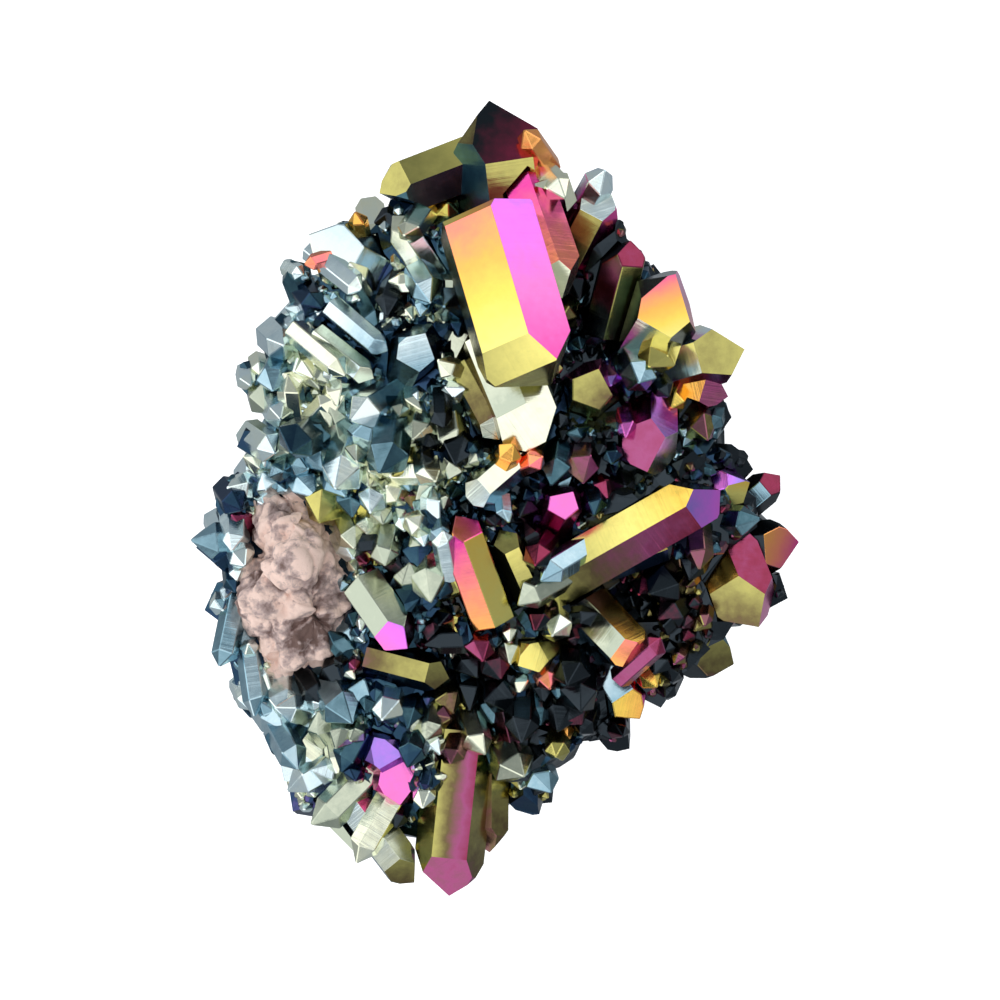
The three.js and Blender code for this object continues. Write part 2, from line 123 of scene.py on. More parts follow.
# The colours that the metal film takes as it gets thicker, by name, each with its place in the
# order. Some also stand for painted light: slate, coal, ink and navy, and maroon and bronze as
# darker copies of pink and gold, are partly painted shade; pale and cream are partly painted
# highlight and reflection.
FILM_AND_PAINTED_LIGHT = {
    "slate": (0.00, (0.030, 0.038, 0.045)),
    "coal": (0.04, (0.024, 0.030, 0.036)),
    "maroon": (0.08, (0.26, 0.035, 0.075)),
    "plum": (0.11, (0.34, 0.08, 0.19)),
    "bronze": (0.145, (0.15, 0.11, 0.05)),
    "olive": (0.18, (0.42, 0.38, 0.12)),
    "straw": (0.24, (0.80, 0.70, 0.20)),
    "gold": (0.30, (0.92, 0.60, 0.11)),
    "amber": (0.36, (0.92, 0.43, 0.10)),
    "coral": (0.42, (0.90, 0.26, 0.18)),
    "magenta": (0.48, (0.72, 0.06, 0.32)),
    "pink": (0.54, (0.90, 0.20, 0.55)),
    "lilac": (0.60, (0.74, 0.18, 0.82)),
    "violet": (0.65, (0.36, 0.22, 0.70)),
    "navy": (0.70, (0.025, 0.045, 0.10)),
    "ink": (0.73, (0.02, 0.05, 0.085)),
    "teal": (0.76, (0.06, 0.13, 0.16)),
    "steel": (0.82, (0.28, 0.44, 0.52)),
    "pale": (0.88, (0.74, 0.86, 0.88)),
    "cream": (0.94, (0.87, 0.87, 0.66)),
    "sage": (1.00, (0.42, 0.46, 0.36)),
}


def order(name):
    """A film's place in the order of thickness."""
    return FILM_AND_PAINTED_LIGHT[name][0]


# A facet: the compass bearing and slope that it faces, in degrees from +X and from straight up,
# and the film at its near end and at its far end. Where several crystals are joined in one piece,
# it also has its place across and along the piece's box. Its film changes along its longest edge,
# or toward a compass bearing if it has one.
Facet = namedtuple(
    "Facet", "compass slope near far across along toward", defaults=(None, None, None))

# Each piece's facets, as the values of a Facet. Their cream and pale films are partly painted
# highlight, and their slate, coal, navy, maroon and bronze films partly painted shade.
LOOKS = {
    "main_crystals": [
        (162, 27, "straw", "coral", 0.33, 0.59),
        (35, 41, "magenta", "lilac", 0.65, 0.62),
        (-111, 29, "olive", "straw", 0.54, 0.31),
        (-21, 80, "cream", "cream", 0.86, 0.33),
        (-74, 74, "olive", "olive", 0.66, 0.25),
        (169, 24, "sage", "cream", 0.40, 0.24),
        (-101, 30, "cream", "cream", 0.60, 0.08),
        (38, 42, "cream", "cream", 0.70, 0.20),
        (155, 17, "bronze", "olive", 0.22, 0.21),
        (-157, 71, "bronze", "olive", 0.17, 0.18),
        (-160, 80, "bronze", "bronze", 0.30, 0.22),
        (45, 46, "coral", "magenta", 0.83, 0.83),
        (148, 32, "coral", "magenta", 0.65, 0.85),
        (-121, 21, "cream", "cream", 0.85, 0.61),
    ],
    "crown_crystals": [
        (80, 21, "maroon", "coal", 0.63, 0.78),
        (152, 49, "bronze", "bronze", 0.46, 0.79),
        (-160, 54, "navy", "teal", 0.48, 0.39),
        (95, 27, "olive", "straw", 0.27, 0.64),
        (167, 37, "olive", "olive", 0.08, 0.52),
        (-55, 35, "teal", "teal", 0.29, 0.48),
        (46, 47, "slate", "slate", 0.71, 0.25),
        (-58, 19, "bronze", "olive", 0.63, 0.48),
        (147, 33, "teal", "teal", 0.83, 0.31),
        (-72, 64, "gold", "amber", 0.73, 0.50),
        (0, 69, "magenta", "pink", 0.85, 0.49),
        (-4, 29, "cream", "cream", 0.92, 0.46),
        (170, 34, "slate", "slate", 0.63, 0.13),
    ],
    "white_crystal": [
        (-118, 24, "bronze", "olive"), (62, 14, "pale", "cream"), (-41, 63, "magenta", "magenta"),
        (165, 63, "bronze", "bronze"),
    ],
    "brown_crystal": [
        (-159, 38, "slate", "bronze"), (-49, 38, "bronze", "olive"), (22, 29, "maroon", "maroon"),
        (130, 75, "slate", "slate"),
    ],
    "kite_crystals": [
        (-120, 46, "cream", "cream", 0.25, 0.39),
        (-120, 8, "straw", "magenta", 0.42, 0.71),
        (16, 8, "olive", "olive", 0.81, 0.39),
        (-164, 30, "pale", "cream", 0.54, 0.30),
        (-90, 64, "maroon", "plum", 0.66, 0.20),
        (172, 69, "navy", "teal", 0.14, 0.58),
        (-52, 69, "slate", "slate", 0.48, 0.42),
        (-51, 32, "plum", "plum", 0.78, 0.10),
        (72, 72, "pale", "cream", 0.83, 0.52),
        (16, 80, "coral", "pink", 0.57, 0.78),
        (-139, 23, "gold", "amber", 0.56, 0.13),
        (76, 66, "navy", "navy", 0.12, 0.51),
        (-158, 38, "teal", "teal", 0.18, 0.63),
        (138, 44, "slate", "slate", 0.31, 0.88),
    ],
    "olive_crystal": [
        (-110, 18, "bronze", "olive"), (-110, 56, "bronze", "olive"), (-175, 73, "teal", "teal"),
        (-45, 73, "olive", "olive"), (25, 73, "magenta", "pink"), (115, 73, "magenta", "magenta"),
    ],
    "red_violet_crystal": [
        (169, 23, "plum", "plum"), (49, 53, "violet", "lilac"), (127, 53, "maroon", "maroon"),
        (-31, 64, "cream", "cream"),
    ],
    "long_crystals": [
        (142, 33, "bronze", "gold", 0.41, 0.59),
        (-82, 33, "olive", "maroon", 0.48, 0.40),
        (-12, 36, "violet", "lilac", 0.91, 0.80),
        (-64, 50, "navy", "navy", 0.60, 0.34),
        (83, 81, "slate", "slate", 0.85, 0.96),
    ],
    "right_gold_crystal": [
        (134, 35, "violet", "lilac"), (-106, 35, "teal", "teal"), (-34, 32, "olive", "gold"),
    ],
    "far_right_upper_crystal": [
        (-140, 14, "teal", "steel"), (-58, 61, "slate", "slate"), (138, 61, "slate", "slate"),
        (40, 24, "maroon", "maroon"),
    ],
    "far_right_lower_crystal": [
        (-176, 12, "slate", "slate"), (4, 26, "amber", "magenta", None, None, -20),
        (-92, 61, "coal", "bronze"), (100, 61, "slate", "slate"),
    ],
    "right_low_crystal": [
        (57, 39, "maroon", "plum"), (163, 39, "gold", "amber"), (-127, 28, "bronze", "olive"),
        (-15, 74, "magenta", "magenta"), (4, 78, "amber", "magenta"),
    ],
    "slate_crystal": [
        (156, 6, "slate", "slate"), (-117, 60, "slate", "slate"), (69, 60, "teal", "teal"),
        (-24, 32, "bronze", "olive"),
    ],
    "lower_gold_crystal": [
        (175, 35, "sage", "cream"), (75, 46, "gold", "amber"), (-101, 21, "amber", "coral"),
        (-140, 83, "steel", "steel"),
    ],
    "lower_orange_crystal": [
        (124, 12, "steel", "pale"), (-153, 61, "teal", "steel"), (41, 61, "magenta", "pink"),
        (-56, 26, "gold", "amber"),
    ],
    "hot_pink_crystal": [
        (-120, 14, "pink", "pink"), (-120, 52, "magenta", "magenta"), (174, 72, "magenta", "pink"),
        (66, 72, "magenta", "magenta"),
    ],
    "cream_crystal": [
        (41, 12, "cream", "cream"), (-42, 61, "steel", "steel"), (124, 61, "sage", "cream"),
        (-139, 26, "pale", "cream"),
    ],
    "coral_crystal": [
        (-138, 33, "amber", "magenta"), (-2, 33, "straw", "gold"), (68, 36, "coral", "magenta"),
    ],
    "slim_olive_crystal": [
        (-29, 17, "bronze", "straw"), (-145, 51, "slate", "slate"), (96, 26, "olive", "olive"),
        (19, 71, "bronze", "olive"),
    ],
    "sage_crystal": [
        (71, 37, "sage", "cream"), (-179, 38, "sage", "sage"), (-108, 29, "pink", "lilac"),
        (0, 75, "maroon", "maroon"),
    ],
    "ridge_crystal": [
        (166, 10, "bronze", "olive"), (-109, 60, "navy", "teal"), (81, 60, "slate", "slate"),
        (-14, 28, "bronze", "olive"),
    ],
    "yellow_crystal": [
        (30, 14, "straw", "straw"), (30, 52, "olive", "olive"), (160, 63, "straw", "gold"),
        (-32, 80, "olive", "straw"), (92, 80, "straw", "straw"), (-100, 63, "teal", "steel"),
    ],
    "violet_pink_crystals": [
        (-60, 12, "violet", "violet", 0.36, 0.70),
        (100, 14, "pink", "pink", 0.58, 0.31),
        (-127, 69, "magenta", "magenta", 0.41, 0.17),
        (-33, 69, "magenta", "magenta", 0.79, 0.20),
        (74, 72, "violet", "violet", 0.43, 0.92),
        (4, 74, "violet", "navy", 0.85, 0.64),
    ],
    "bottom_crystals": [
        (84, 8, "olive", "maroon", 0.44, 0.62, -6),
        (170, 60, "olive", "straw", 0.15, 0.60),
        (-2, 60, "bronze", "olive", 0.70, 0.55),
        (9, 41, "bronze", "olive", 0.91, 0.61),
        (-96, 30, "plum", "plum", 0.36, 0.14),
        (-118, 35, "bronze", "bronze", 0.79, 0.32),
    ],
    "lower_left_cream_crystal": [
        (-162, 21, "cream", "pale"), (47, 41, "sage", "cream"), (-80, 35, "bronze", "olive"),
        (-143, 80, "teal", "steel"),
    ],
    "lower_left_sage_crystal": [
        (-164, 22, "sage", "cream"), (48, 41, "steel", "pale"), (121, 15, "cream", "pale"),
        (166, 70, "pale", "pale"), (-117, 28, "sage", "sage"), (-52, 82, "teal", "steel"),
        (37, 77, "steel", "steel"),
    ],
    "lower_left_white_crystal": [
        (52, 18, "cream", "pale"), (-128, 20, "pale", "pale"), (132, 61, "steel", "pale"),
        (-28, 61, "teal", "steel"),
    ],
    "upper_left_crystal": [
        (-28, 30, "steel", "pale"), (152, 8, "cream", "pale"), (50, 62, "teal", "steel"),
        (-106, 62, "cream", "cream"), (-170, 70, "amber", "coral"),
    ],
    "slim_blue_crystal": [
        (6, 27, "steel", "pale"), (-128, 38, "pale", "cream"), (87, 32, "cream", "cream"),
    ],
    "diagonal_blue_crystal": [
        (-163, 24, "steel", "pale"), (66, 42, "steel", "pale"), (-73, 30, "steel", "steel"),
    ],
    "diagonal_cream_crystal": [
        (-161, 24, "pale", "cream"), (68, 42, "sage", "cream"), (-71, 30, "cream", "cream"),
    ],
    "steel_crystal": [
        (-120, 24, "steel", "pale"), (-120, 62, "teal", "teal"), (-57, 76, "navy", "teal"),
        (177, 76, "teal", "steel"), (13, 69, "navy", "navy"), (107, 69, "steel", "steel"),
    ],
}

# The films of the druse, by zone: the middle of the zone and its reach in shares of the whole box,
# and its list of films. The pale, sage, steel and cream films of the left zones are partly painted
# reflection and highlight, and the slate, coal and ink films of the right zones partly painted
# shade, so the druse is lighter on the left and darker on the right as the light falls.
FILM_AND_LIGHT_ZONES = [
    ((0.21, 0.76), 0.12, ("steel", "pale", "sage", "cream", "pale", "steel", "pale")),
    ((0.14, 0.62), 0.13, ("steel", "sage", "pale", "sage", "cream", "pale", "sage", "steel")),
    ((0.28, 0.64), 0.10, ("teal", "steel", "sage", "teal", "pale", "ink")),
    ((0.31, 0.51), 0.08, ("cream", "sage", "olive", "cream", "steel", "sage", "pale")),
    ((0.05, 0.45), 0.08, ("steel", "pale", "ink", "pale", "steel")),
    ((0.05, 0.31), 0.07, ("steel", "pale", "sage", "steel")),
    ((0.16, 0.20), 0.12, ("pale", "steel", "cream", "pale", "steel", "sage", "pale")),
    ((0.31, 0.09), 0.12, ("sage", "cream", "sage", "teal", "sage", "olive", "cream")),
    ((0.30, 0.23), 0.08, ("steel", "sage", "teal", "pale", "steel")),
    ((0.20, 0.29), 0.05, ("slate", "teal", "coal", "ink")),
    ((0.45, 0.27), 0.10, ("slate", "coal", "ink", "slate", "coal", "teal")),
    ((0.46, 0.17), 0.06, ("sage", "bronze", "cream", "slate", "sage")),
    ((0.55, 0.13), 0.05, ("sage", "cream", "steel", "olive")),
    ((0.55, 0.31), 0.05, ("olive", "sage", "slate", "cream", "bronze")),
    ((0.55, 0.49), 0.09, ("slate", "coal", "ink", "slate")),
    ((0.65, 0.36), 0.10, ("slate", "coal", "slate", "bronze", "ink")),
    ((0.79, 0.40), 0.09, ("slate", "coal", "bronze", "coal", "slate")),
    ((0.89, 0.49), 0.08, ("teal", "slate", "ink", "teal", "slate")),
    ((0.67, 0.76), 0.10, ("slate", "coal", "bronze", "slate", "ink")),
    ((0.67, 0.60), 0.10, ("slate", "sage", "teal", "slate", "steel", "ink")),
    ((0.32, 0.87), 0.08, ("cream", "slate", "sage", "steel", "cream")),
    ((0.35, 0.76), 0.07, ("sage", "steel", "cream", "ink", "teal", "sage")),
    ((0.42, 0.58), 0.07, ("cream", "slate", "sage", "steel", "pale")),
    ((0.60, 0.20), 0.10, ("slate", "teal", "coal", "slate", "ink", "olive")),
    ((0.80, 0.29), 0.08, ("slate", "coal", "bronze", "slate")),
    ((0.43, 0.04), 0.06, ("bronze", "olive", "sage")),
    ((0.39, 0.48), 0.05, ("sage", "cream", "steel", "bronze", "sage", "ink")),
    ((0.33, 0.43), 0.06, ("slate", "maroon", "coal", "ink")),
]

# Small crystals that stand out: where each one is from the middle of the cluster, its bearing, how
# steeply it rises, how wide and how tall it is (in millimetres and degrees), and its film. Their
# cream and pale films are partly painted highlight, and their slate and maroon films partly
# painted shade.
STANDOUTS = [
    (-8.9, 13.6, 120, 50, 1.9, 2.0, "cream"),
    (-12.6, 12.1, 160, 50, 1.4, 1.6, "pale"),
    (-8.4, 12.1, -60, 40, 1.6, 2.2, "teal"),
    (-6.5, 13.6, -110, 35, 1.8, 2.8, "slate"),
    (-8.2, 17.6, -80, 50, 1.7, 1.9, "cream"),
    (-5.4, 17.2, -120, 50, 1.6, 1.8, "cream"),
    (10.0, 9.4, -110, 48, 2.2, 2.4, "straw"),
    (-4.9, -1.6, 150, 50, 1.6, 1.8, "cream"),
    (-3.9, -0.4, 60, 50, 1.5, 1.7, "sage"),
    (-5.4, 13.3, 60, 50, 1.2, 1.4, "coral"),
    (-3.4, 18.0, 90, 55, 1.5, 1.7, "straw"),
    (-13.1, 5.0, 95, 30, 1.6, 3.4, "cream"),
    (-15.2, 2.4, 170, 50, 1.5, 1.7, "cream"),
    (-16.3, 0.8, 170, 45, 1.8, 1.8, "pale"),
    (-14.6, 0.6, 120, 45, 1.6, 1.8, "pale"),
    (-5.6, 6.2, -60, 55, 1.6, 1.8, "cream"),
    (-3.2, 6.6, 30, 50, 1.5, 1.7, "pale"),
    (-2.9, 8.1, 160, 50, 1.4, 1.6, "cream"),
    (-4.4, 2.0, -80, 55, 1.8, 2.0, "cream"),
    (-6.3, 0.3, 150, 50, 1.6, 1.8, "cream"),
    (-8.8, -0.1, 100, 30, 1.2, 3.2, "straw"),
    (-8.8, 4.7, -45, 45, 2.6, 2.6, "steel"),
    (-17.6, -2.6, 180, 40, 2.2, 2.6, "steel"),
    (-16.0, -1.9, 150, 45, 2.4, 2.4, "maroon"),
    (-17.1, -7.0, -100, 20, 1.6, 4.0, "steel"),
    (-16.0, -10.5, -80, 20, 1.6, 3.6, "steel"),
    (-10.6, -17.2, 170, 50, 1.9, 2.0, "pale"),
    (0.4, 2.6, 60, 50, 1.5, 1.6, "amber"),
    (1.8, 2.4, 20, 50, 1.4, 1.6, "coral"),
    (5.2, -1.9, 100, 50, 1.4, 1.6, "magenta"),
    (6.1, 1.6, -60, 40, 1.8, 2.4, "maroon"),
    (3.7, 3.1, -100, 40, 2.0, 3.0, "teal"),
    (11.2, 6.6, -120, 55, 1.5, 1.7, "gold"),
    (12.6, 5.0, -60, 45, 2.2, 2.2, "bronze"),
    (7.0, 7.8, -80, 55, 1.4, 1.5, "violet"),
    (7.9, 4.8, -80, 55, 1.4, 1.5, "pink"),
    (4.5, -3.6, -150, 35, 1.8, 3.0, "steel"),
    (3.2, -5.2, -150, 35, 1.8, 3.0, "sage"),
    (-3.4, -3.3, 100, 40, 1.3, 2.0, "pale"),
    (-2.6, -7.4, -100, 55, 1.3, 1.5, "straw"),
    (-4.1, -5.8, 20, 30, 1.4, 3.0, "olive"),
    (-1.3, -8.8, -90, 50, 1.8, 2.0, "maroon"),
    (0.6, -9.1, -90, 50, 1.6, 1.8, "sage"),
    (2.8, -11.0, -60, 55, 1.4, 1.6, "coral"),
    (2.3, -12.6, -90, 45, 1.8, 2.4, "teal"),
    (3.8, -14.4, -60, 50, 1.5, 1.7, "amber"),
    (14.5, -1.3, 0, 40, 1.8, 2.4, "teal"),
    (9.3, -10.9, -45, 50, 1.7, 1.9, "gold"),
    (8.8, -10.0, 45, 40, 1.4, 2.6, "plum"),
    (-4.4, -14.0, -100, 50, 1.8, 2.0, "sage"),
    (-1.6, -14.8, -70, 50, 1.8, 2.0, "cream"),
    (-2.9, -15.6, -110, 50, 1.6, 1.8, "bronze"),
    (2.6, 20.6, -50, 40, 1.8, 3.2, "cream"),
    (2.2, 22.0, 130, 50, 1.5, 1.9, "amber"),
    (-10.2, -19.2, -135, 14, 2.2, 2.4, "sage"),
    (-11.6, -17.4, -150, 12, 2.2, 2.4, "pale"),
    (-8.2, -21.2, -120, 14, 1.9, 2.1, "cream"),
    (-8.9, 17.2, 100, 45, 1.2, 1.6, "amber"),
    (-11.2, 15.2, -160, 30, 1.0, 1.4, "coral"),
    (6.0, 19.6, 60, 50, 1.9, 2.0, "pale"),
    (-10.4, 14.6, -40, 35, 1.5, 3.0, "pale"),
    (-11.4, 9.4, -40, 35, 1.5, 3.0, "cream"),
    (-12.6, 7.2, 150, 45, 1.8, 2.0, "cream"),
    (-10.4, 4.4, 100, 45, 1.8, 2.4, "sage"),
    (-8.0, 1.9, -100, 50, 1.7, 1.9, "cream"),
    (-12.8, -13.6, 160, 45, 2.0, 2.4, "pale"),
    (-10.9, -14.8, 120, 45, 2.0, 2.2, "sage"),
    (-9.0, -12.6, 60, 45, 1.8, 2.0, "steel"),
]


class Socket:
    """A shader socket that adds Math nodes when it is used in an expression."""

    def __init__(self, graph, socket):
        self.graph = graph
        self.socket = socket

    def _math(self, operation, first, second):
        made = self.graph.add("ShaderNodeMath", {"operation": operation}, {0: first, 1: second})
        return Socket(self.graph, made.outputs[0])

    def __add__(self, other):
        return self._math("ADD", self, other)

    def __radd__(self, other):
        return self._math("ADD", other, self)

    def __sub__(self, other):
        return self._math("SUBTRACT", self, other)

    def __rsub__(self, other):
        return self._math("SUBTRACT", other, self)

    def __mul__(self, other):
        return self._math("MULTIPLY", self, other)

    def __rmul__(self, other):
        return self._math("MULTIPLY", other, self)


class Graph:
    """The node tree of a new material."""

    def __init__(self, name):
        self.material = bpy.data.materials.new(name)
        self.material.use_nodes = True
        self.tree = self.material.node_tree
        self.tree.nodes.clear()

    def add(self, kind, settings, inputs):
        """Adds a node, makes its settings, then sets or links its inputs."""
        node = self.tree.nodes.new(kind)
        for name, value in settings.items():
            if name == "stops":
                self._set_stops(node, value)
            else:
                setattr(node, name, value)
        for key, value in inputs.items():
            if isinstance(value, Socket):
                self.tree.links.new(value.socket, node.inputs[key])
            else:
                node.inputs[key].default_value = value
        return node

    def get(self, kind, settings, inputs, output=0):
        """Adds a node and gives one of its outputs as a value for expressions."""
        return Socket(self, self.add(kind, settings, inputs).outputs[output])

    def _set_stops(self, node, stops):
        elements = node.color_ramp.elements
        while len(elements) > 1:
            elements.remove(elements[-1])
        elements[0].position, elements[0].color = stops[0][0], (*stops[0][1], 1)
        for place, colour in stops[1:]:
            elements.new(place).color = (*colour, 1)


def film_material(settings):
    """The metal film on quartz: its colour follows the film's thickness, with growth lines. The
    thickness it reads also carries painted highlight and painted shade.
    """
    graph = Graph("metal_film")
    place = graph.get("ShaderNodeTexCoord", {}, {}, "Object")
    start = graph.get("ShaderNodeAttribute", {"attribute_name": "film"}, {}, "Fac")
    run = graph.get("ShaderNodeAttribute", {"attribute_name": "run"}, {}, "Vector")
    film_and_light = start + graph.get(
        "ShaderNodeVectorMath", {"operation": "DOT_PRODUCT"}, {0: place, 1: run}, "Value")
    growth = graph.get("ShaderNodeAttribute", {"attribute_name": "growth"}, {}, "Vector")
    clouds = graph.get("ShaderNodeTexNoise", {}, {
        "Vector": place, "Scale": CLOUDS, "Detail": 3.0, "Roughness": 0.6})
    fine = graph.get("ShaderNodeTexNoise", {}, {
        "Vector": place, "Scale": FINE_GRAIN, "Detail": 4.0, "Roughness": 0.6})
    drift = (clouds - 0.5) * settings.film_drift + (fine - 0.5) * 0.035
    colour = graph.get("ShaderNodeValToRGB", {
        "stops": [FILM_AND_PAINTED_LIGHT[name] for name in FILM_AND_PAINTED_LIGHT]}, {"Fac": film_and_light + drift})
    along = graph.get("ShaderNodeVectorMath", {"operation": "DOT_PRODUCT"}, {
        0: place, 1: growth}, "Value")
    lines = graph.get("ShaderNodeTexNoise", {"noise_dimensions": "1D"}, {
        "W": along, "Scale": GROWTH_LINES, "Detail": 3.0, "Roughness": 0.7})
    waves = graph.get("ShaderNodeTexNoise", {}, {
        "Vector": place, "Scale": WAVES, "Detail": 2.0, "Roughness": 0.5})
    relief = lines * 0.25 + waves * 1.2 + fine * 0.1
    bump = graph.get("ShaderNodeBump", {}, {
        "Strength": settings.film_relief, "Distance": LINE_DEPTH, "Height": relief})
    roughness = 0.12 + clouds * 0.14 + fine * 0.06
    shader = graph.get("ShaderNodeBsdfPrincipled", {}, {
        "Base Color": colour, "Metallic": 1.0, "Roughness": roughness, "Normal": bump})
    graph.add("ShaderNodeOutputMaterial", {}, {"Surface": shader})
    return graph.material


def rock_material(settings):
    """Bare granular rock: pinkish brown grains and stains, painted paler on its raised cobbles,
    raised grains and higher parts and painted darker in its pits and the hollows between, as light
    and shade would fall.
    """
    graph = Graph("granular_rock")
    place = graph.get("ShaderNodeTexCoord", {}, {}, "Object")
    grains = graph.get("ShaderNodeTexVoronoi", {}, {"Vector": place, "Scale": GRAINS}, "Color")
    tone = graph.get("ShaderNodeSeparateColor", {}, {"Color": grains}, "Red")
    stains = graph.get("ShaderNodeTexNoise", {}, {
        "Vector": place, "Scale": STAINS, "Detail": 5.0, "Roughness": 0.6})
    pits = graph.get("ShaderNodeTexNoise", {}, {
        "Vector": place, "Scale": PITS, "Detail": 4.0, "Roughness": 0.7})
    crumb = graph.get("ShaderNodeAttribute", {"attribute_name": "crumb"}, {}, "Fac")
    # Painted light and shade: the raised cobbles, grains and higher parts and the high points of
    # the pits noise are paler, the pits and hollows darker; the stains and grain tone are the
    # rock's own.
    mottle = (stains - 0.5) * 2.6 + (tone - 0.5) * 0.2 + (pits - 0.5) * 0.5
    paleness = crumb * 0.5 + mottle + 0.26
    dark = tuple(settings.rock_dark)
    mid = tuple(settings.rock_colour)
    pale = tuple(settings.rock_pale)
    colour = graph.get("ShaderNodeValToRGB", {
        "stops": [(0.10, dark), (0.36, mid), (0.62, pale)]}, {"Fac": paleness})
    bump = graph.get("ShaderNodeBump", {}, {
        "Strength": 0.7, "Distance": GRAIN_DEPTH, "Height": pits * 0.6 + tone * 0.5})
    roughness = 0.75 + pits * 0.2
    shader = graph.get("ShaderNodeBsdfPrincipled", {}, {
        "Base Color": colour, "Roughness": roughness, "Normal": bump})
    graph.add("ShaderNodeOutputMaterial", {}, {"Surface": shader})
    return graph.material


def floor_material(settings):
    """A pale matt floor that glows a little, so that it stays plain."""
    graph = Graph("pale_floor")
    shader = graph.get("ShaderNodeBsdfPrincipled", {}, {
        "Base Color": (*settings.floor_colour, 1), "Roughness": 0.7,
        "Emission Color": (1, 1, 1, 1), "Emission Strength": settings.floor_glow})
    graph.add("ShaderNodeOutputMaterial", {}, {"Surface": shader})
    return graph.material


def settings():
    """The cluster's sizes and colours."""
    return bpy.context.scene.quartz_cluster


def film():
    """The metal film, made at its first use."""
    return bpy.data.materials.get("metal_film") or film_material(settings())


def share_in(box, point):
    """How far a point is across and along a box, as shares."""
    low, high = box
    return [(point[axis] - low[axis]) / (high[axis] - low[axis]) for axis in range(2)]


def bearing(compass, rise):
    """The direction with a compass bearing from +X and a rise over the floor, in degrees."""
    turn, lift = math.radians(compass), math.radians(rise)
    level = math.cos(lift)
    return Vector((math.cos(turn) * level, math.sin(turn) * level, math.sin(lift)))


def facet_of(node, face):
    """The facet in a piece's look that one of its faces belongs to."""
    across, along = share_in(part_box(node), face.calc_center_median())
    weight_of_place = 1.2

    def misfit(facet):
        away = 0.0
        if facet.across is not None:
            away = math.hypot(across - facet.across, along - facet.along)
        turned = 1 - face.normal.dot(bearing(facet.compass, 90 - facet.slope))
        return turned + weight_of_place * away

    return min((Facet(*row) for row in LOOKS[node]), key=misfit)


def grade(face, facet):
    """The start and the run of a film that thickens evenly over a face."""
    near, far = order(facet.near), order(facet.far)
    if facet.toward is not None:
        way = bearing(facet.toward, 0)
    else:
        way = longest_edge(face)
        # The near end is the one toward -Y or, on an edge that runs across, toward -X.
        if way.y + 0.3 * way.x < 0:
            way = -way
    reach = [vert.co.dot(way) for vert in face.verts]
    rate = (far - near) / max(max(reach) - min(reach), MM)
    return near - rate * min(reach), way * rate


def longest_edge(face):
    """The direction of a face's longest edge."""
    edge = max(face.edges, key=lambda candidate: candidate.calc_length())
    return (edge.verts[1].co - edge.verts[0].co).normalized()


def new_piece(name, mesh, material):
    """A piece of one material that rides with the cluster."""
    piece = bpy.data.objects.new(name, mesh)
    bpy.context.collection.objects.link(piece)
    mesh.materials.append(material)
    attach(piece, BODY)
    return piece


def copied_mesh(node):
    """A node's mesh to work on, with its doubled corners joined."""
    made = bmesh.new()
    made.from_mesh(frame_object(node).data)
    bmesh.ops.remove_doubles(made, verts=made.verts, dist=0.002 * MM)
    return made


def frame_object(node):
    return bpy.data.objects[node]


def write_mesh(name, made):
    """Turns a worked mesh into one that a piece can hold."""
    mesh = bpy.data.meshes.new(name)
    made.to_mesh(mesh)
    made.free()
    return mesh


def dress_point(node, bevel, chance):
    """A piece of coated crystals: flat facets with softened edges, each with its own film."""
    made = copied_mesh(node)
    bmesh.ops.dissolve_limit(
        made, angle_limit=FLAT_TURN, verts=made.verts, edges=made.edges)
    start = made.faces.layers.float.new("film")
    run = made.faces.layers.float_vector.new("run")
    growth = made.faces.layers.float_vector.new("growth")
    for face in made.faces:
        face.normal_update()
        face[start], face[run] = grade(face, facet_of(node, face))
        face[start] += chance.uniform(-FACET_SPREAD, FACET_SPREAD)
        face[growth] = longest_edge(face)
    sharp = [edge for edge in made.edges
             if len(edge.link_faces) == 2 and edge.calc_face_angle(0) > SHARP_TURN]
    bmesh.ops.bevel(
        made, geom=sharp, offset=bevel, segments=2, profile=0.6, affect="EDGES",
        clamp_overlap=True, material=-1)
    piece = new_piece(f"{node}_look", write_mesh(f"{node}_look", made), film())
    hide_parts(node)


def zone_film_and_light(point, chance):
    """A film for a small crystal, drawn from the zones near it; neighbours often share one. It is
    partly painted light: paler on the left, darker on the right.
    """
    across, along = share_in((LOW, HIGH), point)
    weights = []
    least_weight = 1e-4
    for (middle_across, middle_along), reach, _ in FILM_AND_LIGHT_ZONES:
        away = math.hypot(across - middle_across, along - middle_along) / reach
        weights.append(math.exp(-away * away) + least_weight)
    films = chance.choices(FILM_AND_LIGHT_ZONES, weights)[0][2]
    drift = 0.5 + DRIFT_SHARE * noise.noise(point * DRIFTS) + chance.uniform(-OWN_SHARE, OWN_SHARE)
    place = min(max(int(drift * len(films)), 0), len(films) - 1)
    return order(films[place]) + chance.uniform(-THICKNESS_SPREAD, THICKNESS_SPREAD)


def bed_film_and_painted_shade(point):
    """The film of the bed between the small crystals, near black as painted shade in the gaps:
    bluish on the left, blacker on the right.
    """
    sway = noise.noise(point * 260) * 0.5 + noise.noise(point * 900) * 0.25
    border = 0.55
    if share_in((LOW, HIGH), point)[0] + sway * 0.5 > border:
        return order("slate") + abs(sway) * 0.04
    return order("ink") + sway * 0.08


